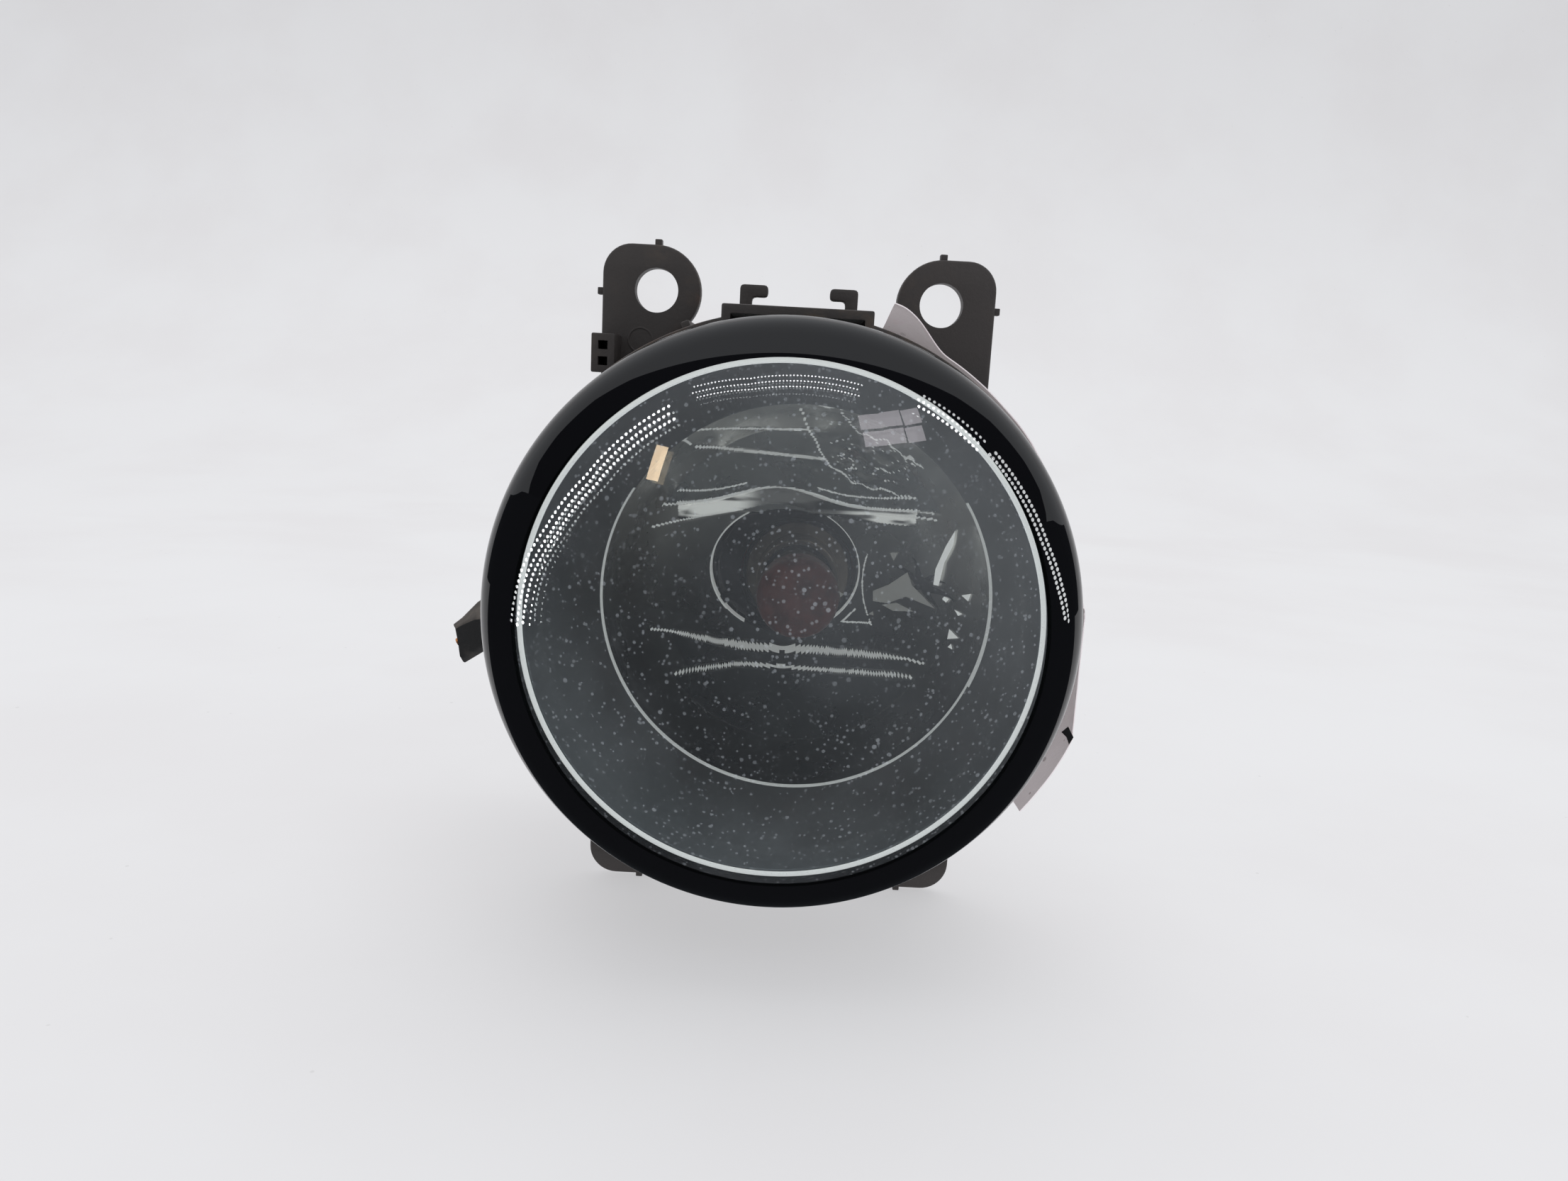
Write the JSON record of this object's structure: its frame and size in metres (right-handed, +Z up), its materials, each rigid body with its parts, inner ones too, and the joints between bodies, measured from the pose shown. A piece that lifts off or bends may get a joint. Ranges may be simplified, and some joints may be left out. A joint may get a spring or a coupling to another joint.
{
  "type": "fog light",
  "caption": "Round front fog light: domed clear lens, stepped metallised bowl, capped bulb and cut harness plug, tilting on an eared black plastic mounting bracket.",
  "frame": {"origin": "centre of the rectangle of the four screw holes, in the plane of the ears' front faces", "axes": "-Y is the way the lamp shines, forwards out of the lens; +Z is up; +X is to the right when the lens is looked at from the front"},
  "size_m": [0.1145, 0.0883, 0.1172],
  "materials": {
    "clear_lens": "clear moulded lens, dusty and slightly hazed",
    "bulb_glass": "clear quartz glass, faintly smoked",
    "mirror": "vacuum-metallised, tarnished and dusty",
    "black_gloss": "black moulded plastic, semi-gloss",
    "black_plastic": "black moulded plastic, matt, with brown road dirt",
    "black_rubber": "matt",
    "red_silicone": "matt silicone rubber",
    "natural_plastic": "natural nylon, matt",
    "zinc_steel": "zinc-plated steel, satin",
    "grey_wire": "drawn grey wire, satin",
    "copper": "bare stranded copper, dull",
    "tin": "tin-plated, satin",
    "bulb_tip_paint": "reddish-brown heat-proof paint, semi-matt",
    "label_paper": "weathered paper, matt, pinkish white with brown specks"
  },
  "bodies": {
    "bracket": {"bracket": "black_plastic", "pivot_bush_right": "natural_plastic", "pivot_bush_left": "natural_plastic", "paper_label": "label_paper"},
    "lamp_body": {"lens": "clear_lens", "lens_seal": "black_rubber", "reflector": "mirror", "housing": "black_gloss", "pivot_pin_right": "zinc_steel", "pivot_pin_left": "zinc_steel", "vent_cap": "black_rubber", "adjuster_nut": "natural_plastic"},
    "adjuster": {"adjuster_screw": "zinc_steel", "adjuster_retainer": "zinc_steel"},
    "bulb_seal": {"bulb_seal_ring": "red_silicone"},
    "bulb": {"bulb_glass": "bulb_glass", "bulb_tip_cap": "bulb_tip_paint", "bulb_filament": "grey_wire", "bulb_lead_short": "grey_wire", "bulb_lead_long": "grey_wire", "bulb_sleeve": "zinc_steel", "bulb_base": "black_plastic", "terminal_upper": "tin", "terminal_lower": "tin"},
    "harness_plug": {"plug_shell": "black_plastic", "plug_seal": "red_silicone", "plug_boot": "black_rubber", "wire_end_front": "copper", "wire_end_rear": "copper"},
    "plug_latch": {"plug_latch": "black_plastic"}
  },
  "joints": [
    {"name": "aim_tilt", "type": "hinge", "parent": "bracket", "child": "lamp_body", "pos_m": [0, -0.014, 0], "axis": [1, 0, 0], "range_deg": [-3, 3]},
    {"name": "adjuster_spin", "type": "hinge", "parent": "bracket", "child": "adjuster", "pos_m": [0, 0, 0.0407], "axis": [0, 1, 0], "range_deg": [-515, 515]},
    {"name": "bulb_pull", "type": "slide", "parent": "lamp_body", "child": "bulb_seal", "axis": [0, 1, 0], "range_m": [0, 0.04]},
    {"name": "bulb_twist", "type": "hinge", "parent": "bulb_seal", "child": "bulb", "pos_m": [0.0025, 0.015, 0.0008], "axis": [0, 1, 0], "range_deg": [0, 45]},
    {"name": "plug_pull", "type": "slide", "parent": "bulb", "child": "harness_plug", "axis": [-0.9744, 0, -0.225], "range_m": [0, 0.02]},
    {"name": "latch_press", "type": "hinge", "parent": "harness_plug", "child": "plug_latch", "pos_m": [-0.03355, 0.031, -0.00752], "axis": [-0.225, 0, 0.9744], "range_deg": [0, 6], "stiffness_Nm_per_rad": 0.05}
  ],
  "couplings": [
    {"joint": "adjuster_spin", "follows": "aim_tilt", "ratio": 170.48}
  ]
}
